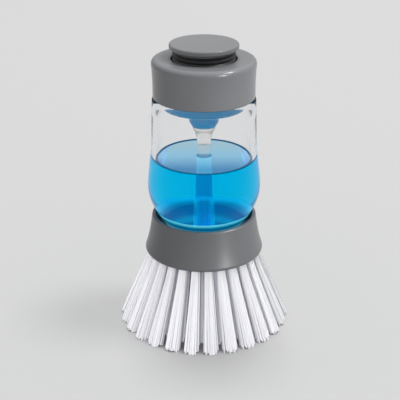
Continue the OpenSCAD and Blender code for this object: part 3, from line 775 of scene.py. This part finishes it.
def soap_body():
    side = [p for p in inner_line(WALL - SOAP_GROWTH) if p[1] < SOAP_TOP - BELOW_MENISCUS]
    foot = FLOOR_TOP - SOAP_GROWTH
    wall, bore, flange = side[-1][0], TUBE - SOAP_GROWTH, FLANGE + SOAP_GROWTH
    steep, shallow, flat = (wall - reach for reach in WALL_MENISCUS)
    outline = [(flange, foot), (side[0][0] - SOAP_FILLET, foot)] + side + [(wall, SOAP_TOP - MENISCUS_PULL)]
    outline += cubic((wall, SOAP_TOP + MENISCUS), (steep, SOAP_TOP + MENISCUS_PULL),
                     (shallow, SOAP_TOP), (flat, SOAP_TOP), WALL_MENISCUS_STEPS)
    steep, shallow, flat = (bore + reach for reach in TUBE_MENISCUS)
    outline += cubic((flat, SOAP_TOP), (shallow, SOAP_TOP), (steep, SOAP_TOP + MENISCUS_PULL),
                     (bore, SOAP_TOP + MENISCUS), TUBE_MENISCUS_STEPS)
    outline += [(bore, FLANGE_TOP - SOAP_GROWTH), (flange, FLANGE_TOP - SOAP_GROWTH)]
    return turned(outline)


def soap_sleeve():
    """Soap round the rod's end, inside the guide tube."""
    inner, outer = ROD_TIP - OVERLAP, TUBE_BORE + OVERLAP
    low, high = ROD_LOW.z, GUIDE_FOOT + GUIDE_SLOPE / 2
    return turned([(inner, low), (outer, low), (outer, high), (inner, high)], ROD_STEPS)


def soap_in_inlet(angle):
    """Soap in one of the guide tube's inlets, at an angle from the front."""
    reach = TUBE - TUBE_BORE
    middle = Vector((0, -(TUBE_BORE + reach / 2), INLET_Z + INLET_HEIGHT / 2)) * MM
    bpy.ops.object.select_all(action="DESELECT")
    bpy.ops.mesh.primitive_cube_add(size=MM, location=middle)
    piece = bpy.context.object
    edit(piece)
    bpy.ops.transform.resize(value=(INLET_WIDTH + 2 * OVERLAP, reach, INLET_HEIGHT + 2 * OVERLAP))
    bpy.ops.mesh.bevel(offset=INLET_EDGE * MM, segments=2, affect="EDGES")
    leave_edit()
    bpy.ops.object.transform_apply(location=True, rotation=True, scale=True)
    piece.data.transform(Matrix.Rotation(math.radians(angle), 4, "Z"))
    return piece


# Look of the soap, zone by zone, in millimetres. Its glows are painted light, standing for the light
# scattered inside it; some zones are darker, less clear copies as painted shade.
SOAP_ABSORPTION = (0.0, 0.862, 0.985)
SOAP_DENSITY = 30.0
SOAP_INDEX = 1.27
SOAP_TOP_INDEX = 1.04
SOAP_GLOSS = (0.1, 0.1, 0.1, 1)
CLEAR_BLUE = (0.0, 0.74, 1.0)
TOP_FOOT = SOAP_TOP - 0.02
LOW_WALL_FOOT, LOW_WALL_TOP = RIM + 0.2, RIM + 2.2
INSIDE_TUBE = TUBE - 0.5
NEAR_FLANGE = FLANGE + 1
STREAK_FOOT, STREAK_TOP = RIM + 0.3, RIM + 1.5
STREAK_PATTERN = (60, 60, 900)
STREAK_LEAST, STREAK_NOISE = 0.55, 0.9
GLOW_FRONT, GLOW_BACK = -14, 14
FLOOR_GLOW_RADIUS, FLOOR_GLOW_WIDTH = 15.0, 0.7


def even_glow(colour):
    """Painted light, spread evenly."""
    return lambda f: (*colour, 1)


def ring_glow(radius, width, away, near):
    """Painted light gathered on a circle about the brush's axis, fading out at width to either side."""
    def spread(f):
        flat = f.node("VectorMath", {0: f.places, 1: (1, 1, 0)}, operation="MULTIPLY")
        reach = f.node("VectorMath", {0: flat}, out="Value", operation="LENGTH")
        off = f.node("Math", {0: reach - radius * MM}, operation="ABSOLUTE")
        ring = f.node("Math", {0: 1 - off * (1 / (width * MM)), 1: 0.0}, operation="MAXIMUM")
        return f.blend(ring, away, near)
    return spread


def top_glow(front, middle, back):
    """Painted light on the open top, paler towards the lamp behind."""
    def spread(f):
        share = f.climb(f.along("Y"), GLOW_FRONT, GLOW_BACK)
        return f.node("ValToRGB", {0: share}, stops=[(0.0, front), (0.5, middle), (1.0, back)])
    return spread


def streak_glow(painted_shade, bright):
    """Painted light in level streaks above a foot darkened as painted shade, where the round wall folds
    what is behind it.
    """
    def spread(f):
        stretched = f.node("VectorMath", {0: f.places, 1: STREAK_PATTERN}, operation="MULTIPLY")
        broken = STREAK_LEAST + STREAK_NOISE * f.noise(1, detail=1.0, places=stretched)
        return f.blend(f.climb(f.along("Z"), STREAK_FOOT, STREAK_TOP) * broken, painted_shade, bright)
    return spread


def blue_soap(zone, body, clearness, glow, index=SOAP_INDEX):
    """Slightly cloudy blue soap; its emission is painted light."""
    f = Finish("soap_" + zone)
    ripple = f.noise(SOAP_RIPPLE, detail=1.0)
    return f.surface({
        "Base Color": (*body, 1),
        "Roughness": 0.0,
        "Transmission Weight": clearness,
        "IOR": index,
        "Specular Tint": SOAP_GLOSS,
        "Emission Color": glow(f),
        "Emission Strength": 1.0,
        "Normal": f.bump(ripple, depth_mm=0.01),
    }, f.absorption(SOAP_ABSORPTION, SOAP_DENSITY))


def soap_finishes():
    # Painted light on the depth zone, brightest on a ring over the floor
    floor_glow = ring_glow(FLOOR_GLOW_RADIUS, FLOOR_GLOW_WIDTH, (0.0, 0.065, 0.13), (0.08, 0.3, 0.36))
    # Painted light on the top: darker at the front, paler towards the back
    open_glow = top_glow((0.02, 0.1, 0.16), (0.2, 0.35, 0.37), (0.28, 0.36, 0.3))
    # Each zone: base colour, clearness and painted light. The depth and the meniscus are darker, less clear
    # copies as painted shade; the low wall is a less clear copy with painted streaks; the top is a pale
    # copy with painted light
    looks = {
        "core": (CLEAR_BLUE, 0.92, even_glow((0.0, 0.0, 0.0))),
        "bore": (CLEAR_BLUE, 0.92, even_glow((0.0, 0.09, 0.11))),
        "wall": (CLEAR_BLUE, 0.92, even_glow((0.0, 0.006, 0.047))),
        "low_wall": (CLEAR_BLUE, 0.25, streak_glow((0.0, 0.08, 0.12), (0.1, 0.4, 0.47))),
        "depth": ((0.0, 0.36, 0.7), 0.2, floor_glow),
        "top": ((0.9, 1.0, 1.0), 0.8, open_glow, SOAP_TOP_INDEX),
        "meniscus": ((0.0, 0.24, 0.46), 0.15, even_glow((0.0, 0.01, 0.03))),
    }
    return {zone: blue_soap(zone, *look) for zone, look in looks.items()}


def soap_zone(place):
    """Zone of the soap that a face at this place belongs to."""
    reach = math.hypot(place.x, place.y)
    if place.z > TOP_FOOT:
        return "top" if reach < MENISCUS_RADIUS else "meniscus"
    if reach < INSIDE_TUBE:
        return "core"
    if place.z < LOW_WALL_FOOT:
        return "depth"
    if reach < NEAR_FLANGE:
        return "bore"
    return "low_wall" if place.z < LOW_WALL_TOP else "wall"


def pour_soap():
    pieces = [soap_body(), soap_sleeve()] + [soap_in_inlet(360 * k / INLETS) for k in range(INLETS)]
    choose(*pieces)
    bpy.ops.object.join()
    finishes = soap_finishes()
    zones = list(finishes)
    soap = finished(pieces[0], "soap", "tank_unit", finishes["core"],
                    ["soap_fill"], SOAP_CREASE)
    for zone in zones[1:]:
        soap.data.materials.append(finishes[zone])
    for face in soap.data.polygons:
        face.material_index = zones.index(soap_zone(face.center / MM))


# Materials of the nodes that stay as they are
def dress_nodes(wet):
    button_grey = grey_plastic("button_grey", (0.168, 0.172, 0.18), (0.152, 0.156, 0.163), gloss=0.26)
    cap_grey = grey_plastic("cap_grey", (0.153, 0.157, 0.165), (0.138, 0.142, 0.149), gloss=0.17)
    collar_grey = grey_plastic("collar_grey", (0.114, 0.117, 0.123), (0.102, 0.105, 0.111), gloss=0.28)
    dark = dark_elastomer()
    natural = natural_plastic()
    steel = drawn_wire("spring_steel", (0.6, 0.6, 0.61))
    finishes = {
        "push_button": button_grey,
        "button_bellows": dark,
        "bellows_ring": natural,
        "return_spring": steel,
        "rod_seal": dark,
        "screw_cap": cap_grey,
        "cap_insert": frosted_blue(),
        "cap_gasket": pale_elastomer(),
        "valve_housing": wet,
        "valve_gasket": dark,
        "valve_seat": dark,
        "valve_poppet": natural,
        "valve_spring": steel,
        "outlet_nozzle": dark,
        "valve_nut": natural,
        "collar": collar_grey,
        "brush_plate": collar_grey,
        "tuft_anchors": drawn_wire("anchor_wire", (0.72, 0.56, 0.27)),
    }
    for node, material in finishes.items():
        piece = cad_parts[node]
        if not piece.material_slots:
            piece.data.materials.append(material)
        for place in piece.material_slots:
            place.material = material


# Floor, in metres
FLOOR_SIZE = 12


def lay_floor():
    bpy.ops.object.select_all(action="DESELECT")
    bpy.ops.mesh.primitive_plane_add(size=FLOOR_SIZE)
    floor = bpy.context.object
    floor.name = "floor"
    floor.data.materials.append(paper())


aim_camera()
light_studio()
clear = clear_plastic("clear_plastic", WHITE, index=1.14, density=22.0)
# The milky rod's faint glow is painted light
milky = clear_plastic("milky_plastic", (0.93, 0.92, 0.9), index=1.4, wave_mm=0.006,
                      clearness=0.86, glow=0.05, blur=0.16)
wet = clear_plastic("wet_plastic", (0.94, 0.99, 1.0), index=1.12, wave_mm=0.006, clearness=0.93)
dress_nodes(wet)
mould_tank(clear)
wind_thread(clear)
turn_rod(milky, wet)
pour_soap()
light_pieces(plant_bristles())
lay_floor()
